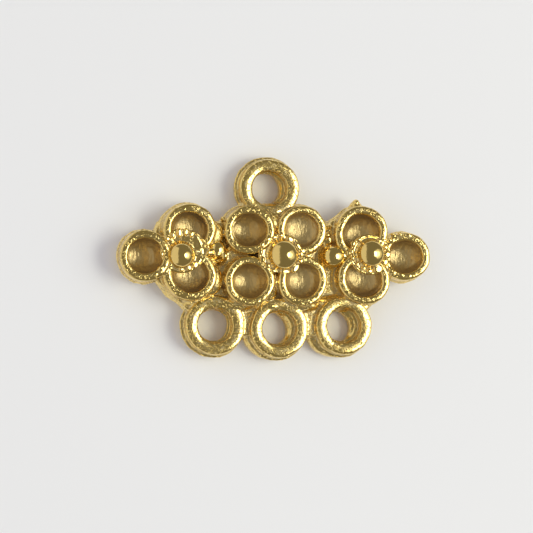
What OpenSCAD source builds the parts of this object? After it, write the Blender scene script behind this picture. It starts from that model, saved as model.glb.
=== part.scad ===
// Three-strand connector: one gold-plated casting, three flowers wide, that
// hangs from one eye and carries three strands on the eyes below.
// Z = 0 is the flat back that it lies on, +Z is the decorated face, +Y is up
// when it is worn and X runs along the row of flowers. Sizes are millimetres.

/* [Overall] */
// Length over the two end cups
length = 20.8; // [20.4:0.1:22]
// Height from the top of the upper eye to the foot of the lower middle eye
height = 13.1; // [12.9:0.1:14]

/* [Cups] */
// Outer radius of a cup at the belt, where the two halves of the mould met
cup_belt_r = 1.75; // [1.65:0.05:1.85]
// How much narrower a cup is on the back than at the belt
cup_draft = 0.2; // [0.1:0.05:0.3]
// Outer radius of a cup just under its rim
cup_neck_r = 1.5; // [1.4:0.05:1.6]
// Radius of the round wire that forms the rim
rim_wire_r = 0.2; // [0.15:0.01:0.24]
// Height of the top of the rim above the back
cup_h = 2.35; // [2.1:0.05:2.6]

/* [Rosettes] */
// Radius of the disc that carries the granules
rosette_r = 1.38; // [1.25:0.01:1.45]
// Radius of the circle of granules
granule_ring_r = 1.14; // [1.05:0.01:1.2]
// Radius of one granule
granule_r = 0.19; // [0.15:0.01:0.2]
// Granules in a full circle
granule_count = 18; // [12:1:18]
// Radius of the dome
dome_r = 0.82; // [0.7:0.01:0.88]
// Distance from the centre of the left rosette to its point
tip_reach = 1.75; // [1.6:0.05:1.9]

/* [Eyes] */
// Outer radius of an eye
eye_r = 1.98; // [1.85:0.01:2.1]
// Radius of the hole, which takes a jump ring
eye_hole_r = 1.1; // [0.9:0.05:1.2]
// Thickness of an eye from back to face
eye_h = 1.9; // [1.6:0.05:2.1]
// Distance between the lower eyes
eye_pitch = 4.3; // [4.2:0.05:4.5]

/* [Web] */
// Thickness of the web that joins the flowers and the eyes
web_h = 1.25; // [1:0.05:1.5]

/* [Hidden] */
$fn = 64;

belt_z = eye_h / 2;                    // height of the belt round cups and eyes
rim_r = cup_neck_r - rim_wire_r / 2;   // circle that the rim's wire follows
rim_z = cup_h - rim_wire_r;            // height of the rim wire's centre
bowl_mouth_z = cup_h - 0.05;           // a bowl's widest level, just under the rim
end_cup_x = length / 2 - cup_belt_r;   // both end cups touch the overall length
eye_mid_y = height / 2 - eye_r;        // upper and lower middle eye touch the height

// Cups: x, y, radius of the bowl
CUPS = [
    [-end_cup_x, 0.05, 1.25],
    [-5.8, 1.8, 1.27],
    [-5.75, -1.12, 1.25],
    [-1.8, 1.77, 1.22],
    [1.72, 1.82, 1.25],
    [-1.77, -1.5, 1.22],
    [1.78, -1.48, 1.27],
    [5.78, 1.65, 1.25],
    [5.93, -1.32, 1.25],
    [end_cup_x, 0.05, 1.2]
];

// Rosettes: x, y, dome radius, angle where the granules start, angle they fill
ROSETTES = [
    [-6.3, 0.38, dome_r, 60, 290],
    [0.38, 0.24, dome_r + 0.06, 0, 360],
    [6.3, 0.34, dome_r, 0, 360]
];
rosette_foot_z = 1.9;                  // underside of the disc, inside the cup walls
rosette_top_z = 2.42;                  // flat top of the disc
rosette_lip_r = 0.1;                   // round lip at the disc's edge
dome_z = 2.42;                         // height of a dome's centre

// Link beads between the flowers: x, y, radius, height of the centre
LINK_BEADS = [
    [-3.85, 0.24, 0.5, 1.85],
    [3.92, 0.18, 0.58, 1.95]
];
link_saddle_r = 0.85;                  // round seat under each link bead
link_saddle_h = 1.75;

// Granules in the notches between cups: x, y, radius, height of the centre
NOTCH_GRANULES = [
    [-7.65, -0.75, 0.23, 2.2],
    [-7.95, -1.1, 0.25, 2.05],
    [7.72, 1.2, 0.24, 2.15],
    [7.78, -0.78, 0.24, 2.15],
    [-3.8, 1.95, 0.16, 1.3],
    [-3.35, 2.35, 0.16, 1.3],
    [3.7, 2.1, 0.16, 1.3],
    [3.62, 1.55, 0.18, 1.3],
    [-3.72, -1.35, 0.18, 1.3],
    [-3.0, 0.55, 0.18, 1.35]
];

// Eyes: x, y
EYES = [
    [-0.36, eye_mid_y],
    [0.3 - eye_pitch, -4.38],
    [0.3, -eye_mid_y],
    [0.3 + eye_pitch, -4.4]
];

// Peak on the top edge of the right flower
peak_x = 5.55;
peak_foot_y = 2.9;
peak_tip_y = 3.6;
peak_half_w = 0.6;
peak_bead_r = 0.22;
peak_h = 1.6;

// Outline of the web, clockwise from the left. It fills the notches between
// the cups, and the lower eyes are joined by it half way down.
WEB = [
    [-7.95, 1.7], [-7.7, 2.3], [-6.7, 2.9], [-4.3, 2.35], [-3.6, 2.45], [-2.4, 3.35], [-1.9, 3.9],
    [1.35, 3.75], [2.2, 3.3], [3.75, 2.5], [4.25, 2.85], [4.8, 3.1], [6.9, 3.0], [7.4, 2.7],
    [7.85, 2.0], [8.0, 1.6], [8.05, -1.45], [7.85, -2.3], [6.95, -2.95], [6.3, -3.7], [3.5, -5.2],
    [1.4, -5.25], [-0.8, -5.25], [-2.9, -5.2], [-5.6, -3.7], [-6.3, -3.05], [-7.1, -2.5], [-7.9, -1.5]
];

// The low web behind the flowers
module web() {
    color("goldenrod")
    linear_extrude(web_h)
        polygon(WEB);
}

// Wall of one cup, widest at the belt, with its round rim, solid inside
module cup_wall(c) {
    color("gold")
    translate([c[0], c[1], 0]) {
        cylinder(r1 = cup_belt_r - cup_draft, r2 = cup_belt_r, h = belt_z);
        translate([0, 0, belt_z])
            cylinder(r1 = cup_belt_r, r2 = cup_neck_r, h = rim_z - belt_z);
        translate([0, 0, rim_z])
            rotate_extrude()
                translate([rim_r, 0])
                    circle(r = rim_wire_r, $fn = 32);
    }
}

// The hollow of one cup
module cup_bowl(c) {
    translate([c[0], c[1], bowl_mouth_z])
        sphere(r = c[2]);
}

// Disc with a lip, a circle of granules and a dome, on the inner corners of the cups
module rosette(r) {
    step = 360 / granule_count;
    color("goldenrod")
    translate([r[0], r[1], 0]) {
        translate([0, 0, rosette_foot_z])
            cylinder(r = rosette_r, h = rosette_top_z - rosette_foot_z);
        translate([0, 0, rosette_top_z])
            rotate_extrude()
                translate([rosette_r - rosette_lip_r, 0])
                    circle(r = rosette_lip_r, $fn = 24);
        for (a = [r[3] : step : r[3] + r[4] - 1])
            rotate(a)
                translate([granule_ring_r, 0, rosette_top_z + granule_r / 3])
                    sphere(r = granule_r, $fn = 24);
        translate([0, 0, dome_z])
            sphere(r = r[2]);
    }
}

// Point that draws the disc of one rosette out towards its link bead
module rosette_tip(r) {
    base_r = rosette_r - rosette_lip_r / 2;
    a = acos(base_r / tip_reach);
    color("goldenrod")
    translate([r[0], r[1], rosette_foot_z])
        linear_extrude(rosette_top_z - rosette_foot_z)
            polygon([[tip_reach, 0], base_r * [cos(a), sin(a)], base_r * [cos(a), -sin(a)]]);
}

// Small dome on a round seat between two flowers
module link_bead(b) {
    color("goldenrod")
    translate([b[0], b[1], 0]) {
        cylinder(r = link_saddle_r, h = link_saddle_h);
        translate([0, 0, b[3]])
            sphere(r = b[2], $fn = 32);
    }
}

// Loose-looking granules that sit in the notches
module notch_granules() {
    color("gold")
    for (g = NOTCH_GRANULES)
        translate([g[0], g[1], g[3]])
            sphere(r = g[2], $fn = 24);
}

// One eye: a band whose face and back are rounded like wire
module eye(e) {
    half_w = (eye_r - eye_hole_r) / 2;
    color("gold")
    translate([e[0], e[1], 0])
        rotate_extrude()
            translate([eye_hole_r, 0]) {
                translate([half_w, half_w])
                    circle(r = half_w, $fn = 48);
                translate([half_w, eye_h - half_w])
                    circle(r = half_w, $fn = 48);
                translate([0, half_w])
                    square([2 * half_w, eye_h - 2 * half_w]);
            }
}

// The straight hole of one eye
module eye_hole(e) {
    translate([e[0], e[1], -1])
        cylinder(r = eye_hole_r, h = web_h + cup_h + 1);
}

// Pointed peak with a bead at its tip
module peak() {
    color("gold") {
        linear_extrude(peak_h)
            polygon([
                [peak_x - peak_half_w, peak_foot_y],
                [peak_x, peak_tip_y],
                [peak_x + peak_half_w, peak_foot_y]
            ]);
        translate([peak_x, peak_tip_y, peak_h])
            sphere(r = peak_bead_r, $fn = 24);
    }
}

// The whole casting
module connector() {
    difference() {
        union() {
            difference() {
                union() {
                    web();
                    for (c = CUPS) cup_wall(c);
                }
                for (c = CUPS) cup_bowl(c);
            }
            for (r = ROSETTES) rosette(r);
            rosette_tip(ROSETTES[0]);
            for (b = LINK_BEADS) link_bead(b);
            notch_granules();
            for (e = EYES) eye(e);
            peak();
        }
        for (e = EYES) eye_hole(e);
    }
}

connector();
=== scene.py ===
# Three-strand connector, 20.8 mm long, cast in one piece and gold plated. It lies
# on its back on a pale table. Metal is modelled in millimetres and brought to
# metres once it is finished.

import math

import bpy
import numpy as np
from mathutils import Matrix, Vector


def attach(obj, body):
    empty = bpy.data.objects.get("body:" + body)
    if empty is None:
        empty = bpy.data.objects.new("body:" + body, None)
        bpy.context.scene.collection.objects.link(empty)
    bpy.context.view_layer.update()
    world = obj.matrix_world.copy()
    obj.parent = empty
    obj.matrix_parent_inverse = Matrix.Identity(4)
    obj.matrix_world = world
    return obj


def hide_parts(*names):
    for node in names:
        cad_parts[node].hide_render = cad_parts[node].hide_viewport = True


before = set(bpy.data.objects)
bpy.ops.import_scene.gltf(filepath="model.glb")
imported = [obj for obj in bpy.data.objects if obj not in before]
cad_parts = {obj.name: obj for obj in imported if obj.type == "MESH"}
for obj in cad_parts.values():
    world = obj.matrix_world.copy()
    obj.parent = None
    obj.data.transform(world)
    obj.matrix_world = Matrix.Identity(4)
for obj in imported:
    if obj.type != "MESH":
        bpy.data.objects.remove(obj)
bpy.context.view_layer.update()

MM = 0.001
SAME_PLACE = 1e-6

# Table
# A plain pale sheet that the connector lies on, lit from the right, so that the
# shadow falls to the left.

TABLE_WIDTH = 1.0
TABLE_LEVEL = -0.00001
TABLE_COLOUR = (0.80, 0.81, 0.78, 1)
TABLE_ROUGHNESS = 0.9
TABLE_SPECULAR = 0.1

bpy.ops.object.select_all(action="DESELECT")
bpy.ops.mesh.primitive_plane_add(size=TABLE_WIDTH, location=(0, 0, TABLE_LEVEL))
table = bpy.context.object
table.name = "table"
paper = bpy.data.materials.new("pale_sheet")
paper.use_nodes = True
paper_finish = paper.node_tree.nodes["Principled BSDF"]
paper_finish.inputs["Base Color"].default_value = TABLE_COLOUR
paper_finish.inputs["Roughness"].default_value = TABLE_ROUGHNESS
paper_finish.inputs["Specular IOR Level"].default_value = TABLE_SPECULAR
table.data.materials.append(paper)

# Camera
# It looks down from the left, 14 degrees off the vertical, through a long lens.
# The aim is a point on the rosettes' level, near the middle of the connector.

FRAME_WIDTH = 34.6 * MM
LENS = 150.0
SENSOR = 36.0
LEAN_LEFT = 14.0
LEAN_FRONT = 2.0
AIM = Vector((-0.68, -0.57, 2.3)) * MM

bpy.ops.object.camera_add()
camera = bpy.context.object
camera.data.lens = LENS
camera.data.sensor_width = SENSOR
camera.data.clip_start = 0.01
camera.data.clip_end = 10
distance = FRAME_WIDTH * LENS / SENSOR
left, front = (math.tan(math.radians(lean)) for lean in (LEAN_LEFT, LEAN_FRONT))
back = Vector((-left, -front, 1)).normalized()
right = Vector((0, 1, 0)).cross(back).normalized()
up = back.cross(right)
camera.matrix_world = Matrix((right, up, back)).transposed().to_4x4()
camera.location = AIM + back * distance
bpy.context.scene.camera = camera

# Light
# A round soft box, brightest at its upper edge, stands to the right. A white
# card stands to the left, and the room is dim.

KEYS = {
    # angle of the centre from the vertical, half width and half length (degrees), radiance
    "key_core": (29.5, 9.5, 17.0, 4.8),
    "key_middle": (40.5, 20.0, 19.0, 1.7),
    "key_skirt": (49.0, 27.0, 27.0, 0.6),
}
KEY_REACH = 0.4
KEY_FORWARD = 0.01
KEY_COLOUR = (1, 0.995, 0.86)
CARD_REACH = 0.3
CARD_HEIGHT = 0.34
CARD_LENGTH = 1.2
CARD_POWER = 0.66
CARD_COLOUR = (1, 0.97, 0.92)
# The room as the gold reflects it, and as it lights the table
ROOM_SEEN = (0.195, 0.18, 0.14, 1)
ROOM_FILL = (0.5, 0.49, 0.58, 1)


def soft_box(name, shape, place, length, height, power, colour):
    """A flat light at a place, turned towards the connector."""
    bpy.ops.object.light_add(type="AREA", location=place)
    light = bpy.context.object
    light.name = name
    light.data.shape = shape
    light.data.size = length
    light.data.size_y = height
    light.data.energy = power
    light.data.color = colour
    light.rotation_euler = Vector(place).to_track_quat("Z", "Y").to_euler()
    return light


for name, (tilt, half_width, half_length, radiance) in KEYS.items():
    tilt = math.radians(tilt)
    height = 2 * math.tan(math.radians(half_width)) * KEY_REACH
    length = 2 * math.tan(math.radians(half_length)) * KEY_REACH
    place = (KEY_REACH * math.sin(tilt), 0, KEY_REACH * math.cos(tilt))
    area = math.pi / 4 * length * height
    box = soft_box(name, "ELLIPSE", place, length, height, radiance * math.pi * area, KEY_COLOUR)
    box.location.y = -KEY_FORWARD
place = (-CARD_REACH, 0, CARD_HEIGHT / 2)
soft_box("left_card", "RECTANGLE", place, CARD_LENGTH, CARD_HEIGHT, CARD_POWER, CARD_COLOUR)

world = bpy.data.worlds.new("room")
bpy.context.scene.world = world
world.use_nodes = True
room = world.node_tree.nodes
room["Background"].inputs["Color"].default_value = ROOM_SEEN
fill = room.new("ShaderNodeBackground")
fill.inputs["Color"].default_value = ROOM_FILL
kind_of_ray = room.new("ShaderNodeLightPath")
either = room.new("ShaderNodeMixShader")
world.node_tree.links.new(kind_of_ray.outputs["Diffuse Depth"], either.inputs["Fac"])
world.node_tree.links.new(room["Background"].outputs["Background"], either.inputs[1])
world.node_tree.links.new(fill.outputs["Background"], either.inputs[2])
world.node_tree.links.new(either.outputs["Shader"], room["World Output"].inputs["Surface"])
bpy.context.scene.view_settings.view_transform = "Standard"

# Web
# The low plate that fills the notches between the cups and joins the eyes. It
# comes out of the mould with the rest, with a thin ridge where the halves met.

PARTING = 0.95
RIDGE = 0.09
RIDGE_EDGE = RIDGE / 4
WEB_TOP = 1.25
TOP_DRAFT = 0.1
BACK_DRAFT = 0.12
WELL_RADIUS = 0.8
WELL_DEPTH = 0.6
WELL_LEVEL = 1.2
HOLE_ROOM = 1.25
# The length of a cutter that passes right through
THROUGH = 4
WEB_OUTLINE = [
    (-7.95, 1.7), (-7.7, 2.3), (-6.7, 2.9), (-4.3, 2.35), (-3.6, 2.45), (-2.4, 3.35), (-1.9, 3.9),
    (1.35, 3.75), (2.2, 3.3), (3.75, 2.5), (4.25, 2.85), (4.8, 3.1), (6.9, 3.0), (7.4, 2.7),
    (7.85, 2.0), (8.0, 1.6), (8.05, -1.45), (7.85, -2.3), (6.95, -2.95), (6.3, -3.7), (3.5, -5.2),
    (1.4, -5.25), (-0.8, -5.25), (-2.9, -5.2), (-5.6, -3.7), (-6.3, -3.05), (-7.1, -2.5), (-7.9, -1.5),
]
CUPS = [
    # x, y, stretch along x and y, turn, lean to the right; depth of the bowl, slide of its floor
    (-8.65, 0.05, 1.0, 1.0, 0, -4, 1.2, -0.4),
    (-5.78, 1.78, 1.06, 1.0, 20, -1, 0.75, 0.0),
    (-5.73, -1.12, 1.07, 1.0, -20, -2, 0.8, 0.0),
    (-1.8, 1.8, 1.0, 0.96, 0, -3, 1.15, -0.25),
    (1.72, 1.82, 1.0, 0.98, 0, 0, 0.6, -0.2),
    (-1.77, -1.53, 1.0, 0.97, 0, -1, 1.05, -0.2),
    (1.78, -1.48, 1.0, 1.0, 0, -1, 0.8, -0.1),
    (5.77, 1.68, 1.09, 1.06, 30, -3, 0.95, -0.15),
    (5.93, -1.32, 1.08, 1.0, -30, -3, 0.85, -0.2),
    (8.8, 0.16, 1.02, 0.96, 0, -3, 0.95, -0.3),
]
EYES = [
    # x, y, stretch along x
    (-0.36, 4.57, 1.03),
    (-4.0, -4.38, 1.02),
    (0.3, -4.57, 1.0),
    (4.66, -4.4, 0.98),
]


def pick(piece, chosen):
    """Select the vertices of a piece that a test of their place accepts."""
    bpy.ops.object.mode_set(mode="OBJECT")
    for face in piece.data.polygons:
        face.select = False
    for edge in piece.data.edges:
        edge.select = False
    for vertex in piece.data.vertices:
        vertex.select = chosen(vertex.co)
    bpy.ops.object.mode_set(mode="EDIT")
    bpy.ops.mesh.select_mode(type="VERT")


def plate(name, outline, level):
    """A flat face whose corners are pulled onto an outline."""
    bpy.ops.object.select_all(action="DESELECT")
    bpy.ops.mesh.primitive_circle_add(
        vertices=len(outline), radius=1, fill_type="NGON", location=(0, 0, level))
    piece = bpy.context.object
    piece.name = name
    for corner, (x, y) in enumerate(outline):
        start = piece.data.vertices[corner].co.copy()
        pick(piece, lambda co: (co - start).length < SAME_PLACE)
        bpy.ops.transform.translate(value=(x - start.x, y - start.y, 0))
        bpy.ops.object.mode_set(mode="OBJECT")
    return piece


def select_only(piece, *others):
    """Select these pieces alone, with the first as the active one."""
    bpy.ops.object.select_all(action="DESELECT")
    for each in (piece, *others):
        each.select_set(True)
    bpy.context.view_layer.objects.active = piece


def applied(piece, kind, **settings):
    """Put a modifier on a piece and apply it."""
    select_only(piece)
    modifier = piece.modifiers.new(kind.lower(), kind)
    for setting, value in settings.items():
        setattr(modifier, setting, value)
    bpy.ops.object.modifier_apply(modifier=modifier.name)


def cut(piece, cutter):
    """Take a cutter's solid out of a piece."""
    applied(piece, "BOOLEAN", operation="DIFFERENCE", object=cutter)
    bpy.data.objects.remove(cutter)


# The outline runs clockwise, so a circle's corners, which run the other way,
# take it from its end.
web = plate("web", WEB_OUTLINE[::-1], PARTING)
bpy.ops.object.mode_set(mode="EDIT")
bpy.ops.mesh.select_all(action="SELECT")
bpy.ops.mesh.extrude_region_move(TRANSFORM_OT_translate={"value": (0, 0, RIDGE_EDGE)})
bpy.ops.mesh.inset(thickness=RIDGE)
bpy.ops.transform.translate(value=(0, 0, RIDGE))
bpy.ops.mesh.inset(thickness=TOP_DRAFT)
bpy.ops.transform.translate(value=(0, 0, WEB_TOP - PARTING - RIDGE - RIDGE_EDGE))
# The corners of the first face lie on the parting line; the back starts there.
pick(web, lambda co: abs(co.z) < SAME_PLACE)
bpy.ops.mesh.inset(thickness=RIDGE)
bpy.ops.transform.translate(value=(0, 0, -RIDGE))
bpy.ops.mesh.inset(thickness=BACK_DRAFT)
bpy.ops.transform.translate(value=(0, 0, RIDGE - PARTING))
bpy.ops.object.mode_set(mode="OBJECT")
bpy.ops.object.transform_apply()
# Wells leave the bowls free, and round holes leave room for those of the eyes.
for x, y, *_ in CUPS:
    bpy.ops.mesh.primitive_cylinder_add(
        vertices=24, radius=WELL_RADIUS, depth=WELL_DEPTH, location=(x, y, WELL_LEVEL))
    cut(web, bpy.context.object)
for x, y, _ in EYES:
    bpy.ops.mesh.primitive_cylinder_add(vertices=48, radius=HOLE_ROOM, depth=THROUGH, location=(x, y, 1))
    cut(web, bpy.context.object)

# Cups
# Ten open round cups, cast hollow, with a broad rounded rim and a wall that is
# widest at the parting ridge. One is turned from its profile and copied.

BOWL_MOUTH = 2.25
BOWL_RADIUS = 1.24
BOWL_EDGE = 2.2
BOWL_FLOOR = 1.0
FOOT_TOP = 0.5
CUP_PROFILE = [
    # radius, height; up the wall, over the rim and down into the bowl
    (1.50, 0.0), (1.60, 0.12), (1.67, 0.5), (1.70, 0.84), (1.72, 0.89), (1.83, PARTING), (1.72, 1.01),
    (1.70, 1.06), (1.67, 1.5), (1.62, 1.9), (1.61, 2.02), (1.66, 2.14), (1.66, 2.22), (1.62, 2.28),
    (1.56, 2.322), (1.50, 2.345), (1.42, 2.35), (1.34, 2.35), (1.285, 2.349), (1.235, 2.338), (1.19, 2.31),
    (1.155, 2.26), (1.13, 2.18), (1.12, 2.08), (1.09, 1.93), (1.03, 1.74), (0.93, 1.54), (0.77, 1.37),
    (0.57, 1.24), (0.33, 1.16), (0.03, 1.13),
]
BOWL_LEVELS = (2.05, 1.85, 1.65, 1.45, 1.3)


def turned(name, profile, sides, ring=False):
    """A body of revolution: a circle extruded and resized along a profile."""
    bpy.ops.object.select_all(action="DESELECT")
    radius, height = profile[0]
    bpy.ops.mesh.primitive_circle_add(
        vertices=sides, radius=radius, fill_type="NOTHING" if ring else "NGON", location=(0, 0, height))
    piece = bpy.context.object
    piece.name = name
    bpy.ops.object.mode_set(mode="EDIT")
    for (r_old, z_old), (r_new, z_new) in zip(profile, profile[1:]):
        bpy.ops.mesh.extrude_region_move(TRANSFORM_OT_translate={"value": (0, 0, z_new - z_old)})
        bpy.ops.transform.resize(value=(r_new / r_old, r_new / r_old, 1), center_override=(0, 0, z_new))
    bpy.ops.mesh.select_all(action="SELECT")
    if ring:
        bpy.ops.mesh.remove_doubles(threshold=0.0005)
    bpy.ops.mesh.normals_make_consistent(inside=False)
    bpy.ops.object.mode_set(mode="OBJECT")
    bpy.ops.object.transform_apply()
    return piece


def copied(piece, place, stretch=(1, 1, 1), turn=0, lean=0):
    """A copy with its own mesh, stretched, turned and leaned (degrees) and set in place."""
    select_only(piece)
    bpy.ops.object.duplicate()
    twin = bpy.context.object
    twin.matrix_world = (
        Matrix.Translation(place) @ Matrix.Rotation(math.radians(lean), 4, "Y")
        @ Matrix.Rotation(math.radians(turn), 4, "Z") @ Matrix.Diagonal((*stretch, 1)))
    bpy.ops.object.transform_apply()
    return twin


cup = turned("cup", CUP_PROFILE, sides=64)
cups = []
for x, y, along, across, turn, lean, depth, slide in CUPS:
    foot = x - BOWL_MOUTH * math.tan(math.radians(lean))
    cups.append(copied(cup, (foot, y, 0), (along, across, 1), turn, lean))
    reach = BOWL_RADIUS * along
    pick(cups[-1], lambda co: math.hypot(co.x - x, co.y - y) < reach and BOWL_FLOOR < co.z < BOWL_EDGE)
    bpy.ops.transform.resize(value=(1, 1, depth), center_override=(x, y, BOWL_MOUTH))
    for level in BOWL_LEVELS:
        pick(cups[-1], lambda co: math.hypot(co.x - x, co.y - y) < reach and FOOT_TOP < co.z < level)
        bpy.ops.transform.translate(value=(slide / len(BOWL_LEVELS), 0, 0))
    bpy.ops.object.mode_set(mode="OBJECT")
bpy.data.objects.remove(cup)

# Eyes
# Four closed eyes for rings, one above and three below, round like heavy wire
# on the face. The mould's front half lay a little to the right of its back half,
# so that the back half shows as a step to the left and as a ledge in the hole.

EYE_PROFILE = [
    (1.50, 0.0), (1.80, 0.04), (1.95, 0.22), (2.0, 0.55), (2.01, 0.87), (2.03, 0.90), (2.13, PARTING),
    (2.04, 1.0), (2.03, 1.05), (2.03, 1.25), (2.03, 1.42), (2.02, 1.57), (1.99, 1.66), (1.95, 1.70),
    (1.88, 1.722), (1.80, 1.738), (1.72, 1.748), (1.62, 1.75), (1.52, 1.75), (1.42, 1.748), (1.34, 1.738),
    (1.26, 1.722), (1.18, 1.70), (1.11, 1.66), (1.06, 1.55), (1.05, 1.25), (1.05, 1.03), (1.0, PARTING),
    (1.05, 0.87), (1.07, 0.45), (1.12, 0.2), (1.25, 0.03), (1.50, 0.0),
]
WALL_RADII = (1.75, 1.83, 1.9, 1.97)
WALL_FOOT = 1.02
WALL_SHRINK = 0.985
WALL_ASIDE = 0.028
DRILL = 1.17
DRILL_ASIDE = 0.08
DRILL_FOOT = 1
DRILL_LENGTH = 2
BACK_HALF = [
    (1.5, 0.0), (1.8, 0.1), (1.93, 0.4), (1.93, 0.8), (1.84, 0.93), (1.3, 0.93), (1.12, 0.85),
    (1.09, 0.4), (1.2, 0.1), (1.5, 0.0),
]
BACK_PLACES = [
    # x, y of each back half that shows
    (-0.04, -4.67), (4.24, -4.52), (-0.52, 4.57),
]

eye = turned("eye", EYE_PROFILE, sides=72, ring=True)
eyes = []
for x, y, along in EYES:
    eyes.append(copied(eye, (x, y, 0), (along, 1, 1)))
    for radius in WALL_RADII:
        pick(eyes[-1], lambda co: math.hypot((co.x - x) / along, co.y - y) > radius and co.z > WALL_FOOT)
        bpy.ops.transform.resize(value=(WALL_SHRINK, WALL_SHRINK, 1), center_override=(x, y, 0))
        bpy.ops.transform.translate(value=(WALL_ASIDE, 0, 0))
    bpy.ops.object.mode_set(mode="OBJECT")
    bpy.ops.mesh.primitive_cylinder_add(
        vertices=72, radius=DRILL, depth=DRILL_LENGTH,
        location=(x + DRILL_ASIDE, y, DRILL_FOOT + DRILL_LENGTH / 2))
    cut(eyes[-1], bpy.context.object)
bpy.data.objects.remove(eye)
back_half = turned("back_half", BACK_HALF, sides=72, ring=True)
eyes += [copied(back_half, (x, y, 0)) for x, y in BACK_PLACES]
bpy.data.objects.remove(back_half)

# Seats and grains
# Lumps of metal between the cups, cast with them: round seats for the link
# beads, fillets that stop at the bowls, and grains as on soldered work. A
# pointed peak stands on the right flower's edge.

LUMPS = [
    # x, y, z, half sizes along x, y and z, turn
    (-3.85, 0.24, 0.9, 0.85, 0.85, 0.9, 0),
    (3.92, 0.18, 0.9, 0.9, 0.9, 0.95, 0),
    (-0.2, 3.05, 1.15, 1.6, 0.6, 0.65, 0),
    (-4.5, -2.85, 0.95, 1.7, 0.55, 0.75, 0),
    (0.0, -2.98, 0.95, 2.0, 0.5, 0.75, 0),
    (4.6, -2.85, 0.95, 1.8, 0.55, 0.75, 0),
    (-2.7, -3.0, 1.3, 1.4, 0.5, 0.62, 0),
    (1.9, -3.05, 1.3, 1.2, 0.45, 0.55, 0),
    (-0.2, -3.14, 1.62, 0.34, 0.14, 0.2, 0),
    (3.75, 1.4, 1.1, 0.7, 1.0, 0.6, 0),
    (4.8, -0.05, 1.4, 0.45, 0.4, 0.45, 0),
    (0.0, 0.15, 1.2, 0.9, 0.8, 0.9, 0),
    (-6.3, 0.35, 1.2, 1.1, 0.9, 0.9, 0),
    (6.3, 0.3, 1.2, 1.1, 0.9, 0.9, 0),
    (-7.65, -0.75, 2.2, 0.26, 0.22, 0.28, 40),
    (-7.98, -1.12, 2.1, 0.3, 0.24, 0.32, 40),
    (7.72, 1.2, 2.2, 0.24, 0.2, 0.24, 0),
    (7.78, -0.78, 2.2, 0.24, 0.24, 0.24, 0),
    (-3.8, 1.95, 1.35, 0.18, 0.18, 0.25, 0),
    (-3.35, 2.55, 1.35, 0.18, 0.18, 0.25, 0),
    (3.7, 2.1, 1.6, 0.16, 0.16, 0.2, 0),
    (3.62, 1.55, 1.65, 0.18, 0.18, 0.2, 0),
    (-3.72, -1.35, 1.5, 0.18, 0.18, 0.2, 0),
    (-3.0, 0.55, 1.4, 0.18, 0.18, 0.25, 0),
    (5.59, 3.72, 1.55, 0.24, 0.22, 0.24, 0),
    (5.6, 3.42, 1.4, 0.44, 0.4, 0.42, 0),
    (5.62, 3.1, 1.3, 0.75, 0.5, 0.5, 0),
    (7.96, 1.62, 2.22, 0.16, 0.12, 0.16, 0),
    (8.4, 1.72, 2.22, 0.13, 0.1, 0.16, 0),
    (9.0, 1.6, 2.25, 0.14, 0.1, 0.15, -20),
    (9.5, 1.35, 2.25, 0.16, 0.1, 0.15, -40),
    (10.1, 0.98, 2.2, 0.22, 0.07, 0.12, -50),
    (8.5, -1.05, 2.3, 0.14, 0.09, 0.1, 0),
    (9.05, -1.12, 2.3, 0.14, 0.09, 0.1, 10),
]
FILLETS = [
    # x, y, z, half sizes along x, y and z, turn, first of the two cups that it stays out of
    (-4.75, 1.6, 1.78, 1.35, 1.0, 0.5, -12, 1),
    (-4.4, -1.35, 1.62, 0.95, 1.1, 0.5, 15, 2),
    (-0.3, 1.9, 1.45, 0.9, 1.4, 0.55, 0, 3),
    (-0.28, 2.3, 1.32, 0.8, 1.0, 0.86, 0, 3),
    (-0.33, -1.6, 1.3, 0.75, 1.3, 0.88, 0, 5),
]
FILLET_EDGE = 1.28

bpy.ops.object.select_all(action="DESELECT")
bpy.ops.mesh.primitive_uv_sphere_add(segments=32, ring_count=20, radius=1)
grain = bpy.context.object
lumps = [
    copied(grain, (x, y, z), (along, across, up), turn)
    for x, y, z, along, across, up, turn in LUMPS
]
for x, y, z, along, across, up, turn, first in FILLETS:
    lumps.append(copied(grain, (x, y, z), (along, across, up), turn))
    for centre_x, centre_y, stretch, *_ in CUPS[first:first + 2]:
        bpy.ops.mesh.primitive_cylinder_add(
            vertices=48, radius=FILLET_EDGE * stretch, depth=THROUGH,
            location=(centre_x, centre_y, THROUGH / 2))
        cut(lumps[-1], bpy.context.object)

# Casting
# Everything above is one piece of pewter. It is fused and softened here, then
# gets the uneven, finely pitted skin of a casting and its thin gold plate.

VOXEL = 0.05
FACES_KEPT = 190000
# The skin is rough up to a level, and the rims are hammered on the side that
# faces the lower eyes
ROUGH_TOP = 1.95
HAMMERED_FOOT = 2.2
HAMMERED_RADII = (1.12, 1.6)
HAMMERED_SIDE = 0.5
UNEVEN = [
    # size of the pattern, depth, where, direction
    (1.3, 0.14, "", "X"),
    (1.6, 0.14, "", "Y"),
    (1.1, 0.014, "", "NORMAL"),
    (0.25, 0.006, "", "NORMAL"),
    (0.28, 0.03, "hammered", "NORMAL"),
    (0.13, 0.0035, "rough", "NORMAL"),
]


def fused(name, parts, voxel, rounds):
    """One closed skin round all the parts, with its inner corners softened."""
    select_only(*parts)
    bpy.ops.object.join()
    piece = bpy.context.object
    piece.name = piece.data.name = name
    applied(piece, "REMESH", mode="VOXEL", voxel_size=voxel)
    applied(piece, "SMOOTH", factor=0.5, iterations=rounds)
    return piece


def uneven(piece, size, depth, where="", along="NORMAL"):
    """Push the skin in and out, or along an axis, by a cloudy pattern of a size, to a depth."""
    clouds = bpy.data.textures.new("clouds", "CLOUDS")
    clouds.noise_scale = size
    applied(
        piece, "DISPLACE", texture=clouds, texture_coords="LOCAL", direction=along, strength=depth,
        vertex_group=where)


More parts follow.
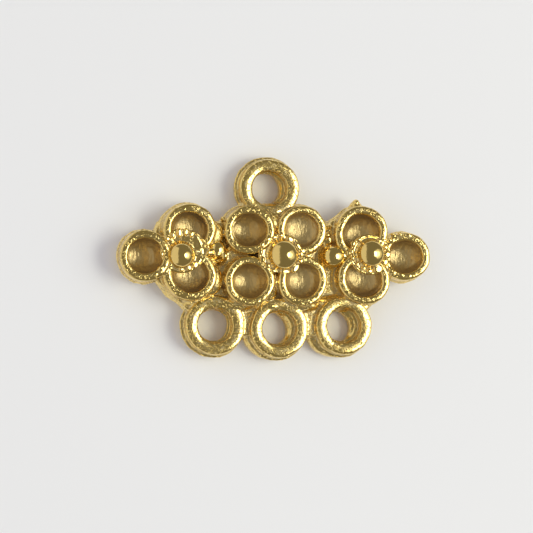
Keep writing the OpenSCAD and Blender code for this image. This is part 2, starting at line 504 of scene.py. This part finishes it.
def thinned(piece, faces):
    """Fewer triangles, kept where the surface bends most."""
    count = sum(len(face.vertices) - 2 for face in piece.data.polygons)
    if count > faces:
        applied(piece, "DECIMATE", ratio=faces / count)


def finished(piece):
    """From millimetres to metres, shaded smooth, with its place in its mesh."""
    select_only(piece)
    bpy.ops.object.shade_smooth()
    piece.scale = (MM, MM, MM)
    bpy.ops.object.transform_apply()


def dirt(piece):
    """How open each vertex lies, from Blender's cavity shading of the mesh: low in crevices, which get
    tarnish and painted shade.
    """
    select_only(piece)
    layer = piece.data.color_attributes.new("dirt", "FLOAT_COLOR", "POINT")
    piece.data.color_attributes.active_color = layer
    bpy.ops.paint.vertex_color_dirt(blur_strength=1, blur_iterations=2, clean_angle=math.pi, dirt_angle=0)
    paint = np.empty(len(piece.data.vertices) * 4)
    piece.data.attributes["dirt"].data.foreach_get("color", paint)
    piece.data.attributes.remove(piece.data.attributes["dirt"])
    return paint.reshape(-1, 4)[:, 0]


def mask(piece, name, values):
    """Keep one value a vertex under a name that the material reads."""
    piece.data.attributes.new(name, "FLOAT", "POINT").data.foreach_set("value", values)


def places(piece):
    """The vertices of a piece as an array."""
    flat = np.empty(len(piece.data.vertices) * 3)
    piece.data.vertices.foreach_get("co", flat)
    return flat.reshape(-1, 3)


def off_centre(place, x, y, along=1, across=1):
    """How far each vertex lies from an upright axis, in the measure of a stretched cup."""
    return np.hypot((place[:, 0] - x) / along, (place[:, 1] - y) / across)


casting = fused("casting", [web] + cups + eyes + lumps, VOXEL, rounds=2)
place = places(casting)
rough = place[:, 2] < ROUGH_TOP
hammered = np.zeros(len(place), dtype=bool)
for x, y, along, across, *_ in CUPS:
    off = off_centre(place, x, y, along, across)
    on_rim = (off > HAMMERED_RADII[0]) & (off < HAMMERED_RADII[1]) & (place[:, 2] > HAMMERED_FOOT)
    hammered |= on_rim & (place[:, 1] < y + HAMMERED_SIDE)
for name, chosen in (("rough", rough), ("hammered", hammered)):
    casting.vertex_groups.new(name=name).add(np.flatnonzero(chosen).tolist(), 1.0, "REPLACE")
for size, depth, where, along in UNEVEN:
    uneven(casting, size, depth, where, along)
# The back is flat.
pick(casting, lambda co: co.z < 0)
bpy.ops.transform.resize(value=(1, 1, 0), center_override=(0, 0, 0))
bpy.ops.object.mode_set(mode="OBJECT")
thinned(casting, FACES_KEPT)

# Where the plate is frosted and pitted, and where its crevices are tarnished and darkened with painted
# shade
CREVICE_OPENNESS = 0.05
CREVICE_OPENNESS_FADE = 0.025
BOWL_FROST_RADIUS = 1.18
BOWL_FROST_FADE = 0.05
BOWL_FROST_TOP = 2.28
BOWL_FROST_TOP_FADE = 0.08
HOLE_RADIUS = 1.2
HOLE_TARNISH_AND_SHADE = 0.3
PITTED_TOP = 2.35
PITTED_FADE = 0.3
PITTED_LEAST = 0.2

# Painted shade with tarnish: the less open a vertex lies, the more it takes the darker tarnish colour.
crevice = np.clip((CREVICE_OPENNESS - dirt(casting)) / CREVICE_OPENNESS_FADE, 0, 1)
place = places(casting)
hollow = np.zeros(len(place))
for x, y, along, across, *_ in CUPS:
    inside = np.clip((BOWL_FROST_RADIUS - off_centre(place, x, y, along, across)) / BOWL_FROST_FADE, 0, 1)
    inside *= np.clip((BOWL_FROST_TOP - place[:, 2]) / BOWL_FROST_TOP_FADE, 0, 1)
    hollow = np.maximum(hollow, inside * (place[:, 2] > FOOT_TOP))
# Inside the eyes' holes the painted shade and tarnish are weaker.
for x, y, _ in EYES:
    crevice[off_centre(place, x, y) < HOLE_RADIUS] *= HOLE_TARNISH_AND_SHADE
pitted = np.clip((PITTED_TOP - place[:, 2]) / PITTED_FADE, PITTED_LEAST, 1) * (1 - hollow)
mask(casting, "pitted", pitted)
mask(casting, "crevice", crevice)
mask(casting, "hollow", hollow)
finished(casting)

GOLD = (0.93, 0.70, 0.265, 1)
# Darker colour of the crevices: partly tarnish, partly painted shade
TARNISH_AND_SHADE = (0.64, 0.52, 0.28, 1)
FROSTED = (0.58, 0.44, 0.21, 1)
POLISHED = 0.12
SATIN = 0.38
FROSTED_METAL = 0.92
DULL_METAL = 0.75
CREVICE_WEAR = 0.4
GRAIN_DEPTH = 0.08
PIT_DEPTH = 0.85
BRUSH_STRETCH = (1.8, 0.6, 1.0)
BRUSH_TURN = 0.4
RELIEF_STRENGTH = 0.5
RELIEF_DISTANCE = 0.12 * MM


def tarnished_and_shaded_gold():
    """Group: gold that dulls and darkens in its hollows, with tarnish and painted shade in its crevices,
    and the small pits of a casting.
    """
    group = bpy.data.node_groups.new("tarnished_and_shaded_gold", "ShaderNodeTree")
    for name, kind, value in (
        ("Plate", "NodeSocketColor", GOLD), ("Tarnish_And_Shade", "NodeSocketColor", TARNISH_AND_SHADE),
        ("Frosted", "NodeSocketColor", FROSTED),
        ("Hollow", "NodeSocketFloat", 0.0), ("Crevice", "NodeSocketFloat", 0.0),
        ("Pitted", "NodeSocketFloat", 0.0),
        ("Polished", "NodeSocketFloat", POLISHED), ("Satin", "NodeSocketFloat", SATIN),
        ("Grain Depth", "NodeSocketFloat", GRAIN_DEPTH), ("Pit Depth", "NodeSocketFloat", PIT_DEPTH),
    ):
        group.interface.new_socket(name, in_out="INPUT", socket_type=kind).default_value = value
    group.interface.new_socket("Colour", in_out="OUTPUT", socket_type="NodeSocketColor")
    group.interface.new_socket("Roughness", in_out="OUTPUT", socket_type="NodeSocketFloat")
    group.interface.new_socket("Metallic", in_out="OUTPUT", socket_type="NodeSocketFloat")
    group.interface.new_socket("Height", in_out="OUTPUT", socket_type="NodeSocketFloat")
    nodes, links = group.nodes, group.links
    given = nodes.new("NodeGroupInput")
    result = nodes.new("NodeGroupOutput")

    place = nodes.new("ShaderNodeTexCoord")
    in_mm = nodes.new("ShaderNodeMapping")
    in_mm.inputs["Scale"].default_value = (1 / MM, 1 / MM, 1 / MM)
    links.new(place.outputs["Object"], in_mm.inputs["Vector"])

    def cloud(scale, detail, stretch=(1, 1, 1)):
        drawn = nodes.new("ShaderNodeMapping")
        drawn.inputs["Scale"].default_value = stretch
        drawn.inputs["Rotation"].default_value = (0, 0, BRUSH_TURN)
        noise = nodes.new("ShaderNodeTexNoise")
        noise.inputs["Scale"].default_value = scale
        noise.inputs["Detail"].default_value = detail
        links.new(in_mm.outputs["Vector"], drawn.inputs["Vector"])
        links.new(drawn.outputs["Vector"], noise.inputs["Vector"])
        return noise.outputs["Fac"]

    def work(kind, first, second):
        node = nodes.new("ShaderNodeMath")
        node.operation = kind
        node.use_clamp = kind in ("ADD", "SUBTRACT")
        for socket, value in zip(node.inputs, (first, second)):
            if isinstance(value, float):
                socket.default_value = value
            else:
                links.new(value, socket)
        return node.outputs[0]

    def spread(value, low, high, to_low, to_high):
        node = nodes.new("ShaderNodeMapRange")
        node.inputs["From Min"].default_value = low
        node.inputs["From Max"].default_value = high
        node.inputs["To Min"].default_value = to_low
        node.inputs["To Max"].default_value = to_high
        links.new(value, node.inputs["Value"])
        return node.outputs["Result"]

    def mixed(kind, factor, first, second):
        node = nodes.new("ShaderNodeMix")
        node.data_type = kind
        links.new(factor, node.inputs["Factor"])
        for socket, value in (("A", first), ("B", second)):
            at = next(s for s in node.inputs if s.name == socket and s.enabled)
            if isinstance(value, float):
                at.default_value = value
            else:
                links.new(value, at)
        return next(s for s in node.outputs if s.enabled)

    patchy = spread(cloud(scale=1.6, detail=4.0), low=0.35, high=0.65, to_low=0.7, to_high=1.15)
    fine = cloud(scale=9.0, detail=3.0)
    thickness = spread(cloud(scale=5.0, detail=4.0), low=0.35, high=0.65, to_low=0.8, to_high=1.0)
    frost = work("MULTIPLY", given.outputs["Hollow"], thickness)
    # Painted shade with tarnish: crevices darken, in patches, towards the tarnish colour.
    tarnished_and_shaded = mixed("RGBA", work("MULTIPLY", given.outputs["Crevice"], patchy),
                  given.outputs["Plate"], given.outputs["Tarnish_And_Shade"])
    links.new(mixed("RGBA", frost, tarnished_and_shaded, given.outputs["Frosted"]), result.inputs["Colour"])
    bare = mixed("FLOAT", given.outputs["Crevice"], 1.0, DULL_METAL)
    links.new(mixed("FLOAT", frost, bare, FROSTED_METAL), result.inputs["Metallic"])
    worn = work("ADD", given.outputs["Hollow"], work("MULTIPLY", given.outputs["Crevice"], CREVICE_WEAR))
    links.new(mixed("FLOAT", worn, given.outputs["Polished"], given.outputs["Satin"]),
              result.inputs["Roughness"])

    pits = spread(cloud(scale=7.0, detail=2.0), low=0.57, high=0.68, to_low=0.0, to_high=1.0)
    deep = work("MULTIPLY", pits, work("MULTIPLY", given.outputs["Pitted"], given.outputs["Pit Depth"]))
    streaks = cloud(scale=3.5, detail=6.0, stretch=BRUSH_STRETCH)
    brushed = work("MULTIPLY", streaks, given.outputs["Hollow"])
    relief = work("ADD", deep, work("MULTIPLY", fine, given.outputs["Grain Depth"]))
    links.new(work("ADD", relief, brushed), result.inputs["Height"])
    return group


gold_skin = tarnished_and_shaded_gold()


def gold_plate(name, masks):
    """Gold plate over cast pewter, with the frosted hollows, the crevices of tarnish and painted shade, or
    the pits that a piece has painted in.
    """
    metal = bpy.data.materials.new(name)
    metal.use_nodes = True
    nodes, links = metal.node_tree.nodes, metal.node_tree.links
    finish = nodes["Principled BSDF"]
    skin = nodes.new("ShaderNodeGroup")
    skin.node_tree = gold_skin
    for painted in masks:
        values = nodes.new("ShaderNodeAttribute")
        values.attribute_name = painted.lower()
        links.new(values.outputs["Fac"], skin.inputs[painted])
    links.new(skin.outputs["Colour"], finish.inputs["Base Color"])
    links.new(skin.outputs["Roughness"], finish.inputs["Roughness"])
    links.new(skin.outputs["Metallic"], finish.inputs["Metallic"])
    relief = nodes.new("ShaderNodeBump")
    relief.inputs["Strength"].default_value = RELIEF_STRENGTH
    relief.inputs["Distance"].default_value = RELIEF_DISTANCE
    links.new(skin.outputs["Height"], relief.inputs["Height"])
    links.new(relief.outputs["Normal"], finish.inputs["Normal"])
    return metal


casting.data.materials.clear()
casting.data.materials.append(gold_plate("cast_gold_plate", ("Hollow", "Crevice", "Pitted")))
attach(casting, "root")
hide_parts("connector")

# Rosettes
# One at the middle of each flower: a disc with a soft lip, a circle of grains
# and a polished dome on a low pedestal. They are cast on, over the inner corners
# of the cups. The left one is drawn out to a point towards the link bead.

FINE_VOXEL = 0.03
ROSETTE_FACES = 60000
# Of the skin, the hundredths that take the tarnish and painted shade wholly, and at all
TARNISHED_AND_SHADED_SHARES = (4, 18)
LIP_PROFILE = [
    (1.22, 1.75), (1.34, 1.95), (1.40, 2.15), (1.42, 2.27), (1.39, 2.34), (1.32, 2.36), (1.24, 2.34),
    (1.18, 2.30), (0.9, 2.29), (0.5, 2.3), (0.1, 2.3),
]
PEDESTAL_PROFILE = [
    (1.24, 2.2), (1.22, 2.34), (1.12, 2.41), (1.05, 2.52), (1.0, 2.66), (0.97, 2.8), (0.9, 2.82),
    (0.5, 2.82), (0.1, 2.82),
]
DOME_PROFILE = [
    (1.0, -2.0), (1.0, -0.2), (0.985, -0.05), (0.94, 0.09), (0.85, 0.28), (0.7, 0.52), (0.5, 0.76),
    (0.3, 0.915), (0.15, 0.98), (0.03, 1.0),
]
TIP_LEVEL = 2.0
TIP_THICKNESS = 0.33
TIP_OUTLINE = [
    (-6.3, 1.75), (-5.7, 1.7), (-5.15, 1.38), (-4.78, 0.98), (-4.47, 0.5), (-4.7, 0.0), (-5.12, -0.5),
    (-5.7, -0.75), (-6.3, -0.75),
]
TIP_LIPS = [
    # x, y, z, half sizes along x, y and z, turn
    (-5.38, 1.5, 2.33, 0.38, 0.08, 0.09, -32), (-4.92, 1.12, 2.34, 0.3, 0.08, 0.1, -48),
    (-4.62, 0.72, 2.35, 0.26, 0.09, 0.11, -55), (-4.6, 0.25, 2.34, 0.28, 0.08, 0.1, 60),
    (-4.9, -0.26, 2.33, 0.34, 0.08, 0.09, 55),
]
PILL_PROFILE = [
    (1.0, -0.8), (1.0, 0.4), (0.93, 0.7), (0.8, 0.88), (0.6, 0.97), (0.3, 1.0), (0.03, 1.0),
]
ROSETTES = {
    # disc x, y, stretch along x and y; dome x, y, radius, rise, height of its top;
    # grains x, y, half length, half width, turn of the length, lean to the right
    "rosette_left": (
        (-6.3, 0.38, 1.0, 1.02), (-6.36, 0.1, 0.78, 0.38, 3.2),
        [
            (-7.26, 1.16, 0.17, 0.16, 0, 8), (-6.92, 1.4, 0.2, 0.16, 110, 5),
            (-6.48, 1.56, 0.3, 0.18, 92, 9), (-6.05, 1.62, 0.24, 0.17, 88, 9),
            (-5.67, 1.48, 0.2, 0.15, 70, 8), (-7.45, 0.76, 0.13, 0.12, 0, 0),
            (-7.5, 0.38, 0.12, 0.12, 0, 2), (-7.4, -0.02, 0.13, 0.12, 0, 0),
            (-7.05, -0.52, 0.15, 0.13, 0, 2), (-6.34, -0.75, 0.2, 0.19, 90, 8),
            (-5.85, -0.7, 0.18, 0.18, 90, 8), (-5.42, -0.5, 0.24, 0.19, 60, 9),
            (-4.52, 0.3, 0.14, 0.13, 0, 8),
        ]),
    "rosette_middle": (
        (0.27, 0.3, 1.07, 0.92), (0.43, 0.19, 0.92, 0.44, 3.27),
        [
            (-0.19, 1.33, 0.22, 0.12, 10, 5), (0.27, 1.46, 0.16, 0.12, 0, 5),
            (0.89, 1.22, 0.28, 0.15, -30, 8), (1.42, 0.76, 0.3, 0.13, -50, 6),
            (1.62, 0.26, 0.2, 0.12, -75, 4), (1.6, -0.2, 0.16, 0.14, 90, 5),
            (1.24, -0.66, 0.36, 0.2, 52, 9), (0.56, -0.9, 0.34, 0.13, 0, 6),
            (-0.24, -0.85, 0.22, 0.12, -15, 4), (-0.62, -0.52, 0.18, 0.16, 0, 0),
            (-0.98, -0.12, 0.19, 0.16, 90, -4), (-1.1, 0.38, 0.18, 0.15, 90, -4),
            (-1.0, 0.85, 0.19, 0.16, 60, 0), (-0.57, 1.2, 0.2, 0.13, 30, 4),
        ]),
    "rosette_right": (
        (6.33, 0.27, 1.0, 0.95), (6.34, 0.33, 0.82, 0.33, 3.2),
        [
            (5.14, 0.97, 0.19, 0.17, 45, 0), (5.03, 0.46, 0.19, 0.15, 90, 0),
            (5.12, 0.02, 0.14, 0.13, 90, 0), (5.44, -0.38, 0.19, 0.12, 80, 6),
            (5.86, -0.64, 0.16, 0.14, 0, 2), (6.28, -0.82, 0.2, 0.15, 0, 5),
            (6.85, -0.66, 0.32, 0.3, 30, 4), (7.35, -0.22, 0.25, 0.2, 70, 9),
            (7.48, 0.28, 0.23, 0.22, 0, 4), (7.36, 0.75, 0.17, 0.14, 0, 5),
            (6.97, 1.17, 0.18, 0.13, -30, 8), (7.28, 1.2, 0.14, 0.12, 0, 8),
            (5.56, 1.25, 0.14, 0.12, 0, 3),
        ]),
}
GRAIN_LEVEL = 2.33
GRAIN_RISE = 0.16

disc = turned("disc", LIP_PROFILE, sides=64)
pedestal = turned("pedestal", PEDESTAL_PROFILE, sides=48)
dome_cap = turned("dome_cap", DOME_PROFILE, sides=64)
pill = turned("pill", PILL_PROFILE, sides=32)
polished = gold_plate("polished_gold_plate", ("Crevice",))
for name, (seat, dome, grains) in ROSETTES.items():
    parts = [copied(disc, (seat[0], seat[1], 0), (seat[2], seat[3], 1))]
    parts.append(copied(pedestal, (dome[0], dome[1], 0), (dome[2], dome[2], 1)))
    for x, y, length, width, turn, lean in grains:
        parts.append(copied(pill, (x, y, GRAIN_LEVEL), (length, width, GRAIN_RISE), turn, lean))
    if name == "rosette_left":
        tip = plate("tip", TIP_OUTLINE[::-1], TIP_LEVEL)
        bpy.ops.object.mode_set(mode="EDIT")
        bpy.ops.mesh.select_all(action="SELECT")
        bpy.ops.mesh.extrude_region_move(TRANSFORM_OT_translate={"value": (0, 0, TIP_THICKNESS)})
        bpy.ops.mesh.select_all(action="SELECT")
        bpy.ops.mesh.normals_make_consistent(inside=False)
        bpy.ops.object.mode_set(mode="OBJECT")
        bpy.ops.object.transform_apply()
        parts.append(tip)
        for x, y, z, along, across, up, turn in TIP_LIPS:
            parts.append(copied(grain, (x, y, z), (along, across, up), turn))
    piece = fused(name, parts, FINE_VOXEL, rounds=3)
    uneven(piece, size=0.4, depth=0.02)
    thinned(piece, ROSETTE_FACES)
    # Painted shade with tarnish between the grains and in the corners of the rosette
    open_to_air = dirt(piece)
    low, high = np.percentile(open_to_air, TARNISHED_AND_SHADED_SHARES)
    mask(piece, "crevice", np.clip((high - open_to_air) / (high - low), 0, 1))
    polished_dome = copied(dome_cap, (dome[0], dome[1], dome[4] - dome[3]), (dome[2], dome[2], dome[3]))
    applied(polished_dome, "SUBSURF", levels=2, render_levels=2)
    uneven(polished_dome, size=0.7, depth=0.02)
    select_only(piece, polished_dome)
    bpy.ops.object.join()
    finished(piece)
    piece.data.materials.clear()
    piece.data.materials.append(polished)
    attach(piece, "root")
for pattern in (disc, pedestal, dome_cap, pill):
    bpy.data.objects.remove(pattern)

# Link beads
# Small polished domes on their seats between the flowers, tied to the rosettes
# by smaller grains, all cast on.

LINKS = {
    # x, y, z, half sizes along x, y and z, turn
    "link_left": [
        (-3.86, 0.5, 1.75, 0.6, 0.64, 0.56, 0), (-4.38, 0.33, 2.14, 0.24, 0.28, 0.22, 0),
        (-3.93, 0.2, 2.1, 0.27, 0.2, 0.22, 0), (-3.44, 0.12, 2.06, 0.24, 0.27, 0.24, 0),
    ],
    "link_right": [
        (3.92, 0.15, 2.0, 0.76, 0.7, 0.55, 0), (4.6, 0.22, 2.06, 0.44, 0.32, 0.24, 5),
        (4.88, 0.36, 2.25, 0.2, 0.2, 0.2, 0),
    ],
}

for name, beads in LINKS.items():
    parts = [
        copied(grain, (x, y, z), (along, across, up), turn)
        for x, y, z, along, across, up, turn in beads
    ]
    piece = fused(name, parts, FINE_VOXEL, rounds=2)
    finished(piece)
    piece.data.materials.append(polished)
    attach(piece, "root")
bpy.data.objects.remove(grain)
